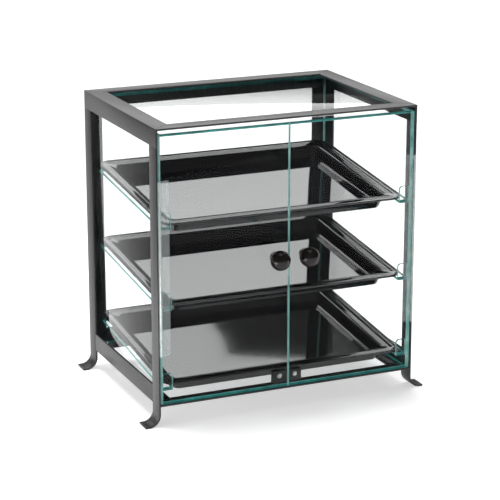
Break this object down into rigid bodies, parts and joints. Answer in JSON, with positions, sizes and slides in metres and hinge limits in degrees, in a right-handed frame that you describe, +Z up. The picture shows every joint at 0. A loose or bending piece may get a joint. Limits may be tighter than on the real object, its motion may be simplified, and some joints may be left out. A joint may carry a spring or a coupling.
{
  "type": "bakery display case",
  "caption": "Countertop bakery display case: clear acrylic box with two hinged doors in a dark welded steel frame on bent feet, with sloping black trays inside.",
  "frame": {"origin": "on the counter, under the middle of the box around the closed case with its knobs", "axes": "+Z up, -Y towards the doors, +X to the right as the doors are faced"},
  "size_m": [0.536, 0.397, 0.521],
  "materials": {
    "powder_coat": "charcoal powder coat, satin, fine texture",
    "clear_acrylic": "polished clear acrylic with green edges",
    "clear_hinge": "clear moulded plastic",
    "tray_plastic": "glossy black",
    "knob_black": "glossy black",
    "catch_black": "matt black",
    "bright_steel": "plated, bright"
  },
  "bodies": {
    "case": {"back_panel": "clear_acrylic", "bottom_panel": "clear_acrylic", "front_left_post": "powder_coat", "front_right_post": "powder_coat", "left_catch": "catch_black", "left_hinge_pin": "bright_steel", "left_magnet": "bright_steel", "left_panel": "clear_acrylic", "left_side_leaf": "clear_hinge", "lower_front_rail": "powder_coat", "lower_left_ledge": "clear_acrylic", "lower_left_rail": "powder_coat", "lower_left_stop": "clear_acrylic", "lower_rear_rail": "powder_coat", "lower_right_ledge": "clear_acrylic", "lower_right_rail": "powder_coat", "lower_right_stop": "clear_acrylic", "middle_left_ledge": "clear_acrylic", "middle_left_stop": "clear_acrylic", "middle_right_ledge": "clear_acrylic", "middle_right_stop": "clear_acrylic", "rear_left_post": "powder_coat", "rear_right_post": "powder_coat", "right_catch": "catch_black", "right_hinge_pin": "bright_steel", "right_magnet": "bright_steel", "right_panel": "clear_acrylic", "right_side_leaf": "clear_hinge", "top_panel": "clear_acrylic", "upper_front_rail": "powder_coat", "upper_left_ledge": "clear_acrylic", "upper_left_rail": "powder_coat", "upper_left_stop": "clear_acrylic", "upper_rear_rail": "powder_coat", "upper_right_ledge": "clear_acrylic", "upper_right_rail": "powder_coat", "upper_right_stop": "clear_acrylic"},
    "left_door_body": {"left_door": "clear_acrylic", "left_door_leaf": "clear_hinge", "left_knob": "knob_black", "left_knob_screw": "bright_steel", "left_strike": "bright_steel"},
    "right_door_body": {"right_door": "clear_acrylic", "right_door_leaf": "clear_hinge", "right_knob": "knob_black", "right_knob_screw": "bright_steel", "right_strike": "bright_steel"},
    "lower_tray_body": {"lower_tray": "tray_plastic"},
    "middle_tray_body": {"middle_tray": "tray_plastic"},
    "upper_tray_body": {"upper_tray": "tray_plastic"}
  },
  "joints": [
    {"name": "left_door_swing", "type": "hinge", "parent": "case", "child": "left_door_body", "pos_m": [-0.2388, -0.1611, 0.27525], "axis": [0, 0, -1], "range_deg": [0, 180]},
    {"name": "right_door_swing", "type": "hinge", "parent": "case", "child": "right_door_body", "pos_m": [0.2388, -0.1611, 0.27525], "axis": [0, 0, 1], "range_deg": [0, 180]},
    {"name": "lower_tray_lift", "type": "slide", "parent": "case", "child": "lower_tray_body", "axis": [0, 0, 1], "range_m": [0, 0.055]},
    {"name": "middle_tray_lift", "type": "slide", "parent": "case", "child": "middle_tray_body", "axis": [0, 0, 1], "range_m": [0, 0.055]},
    {"name": "upper_tray_lift", "type": "slide", "parent": "case", "child": "upper_tray_body", "axis": [0, 0, 1], "range_m": [0, 0.055]}
  ]
}
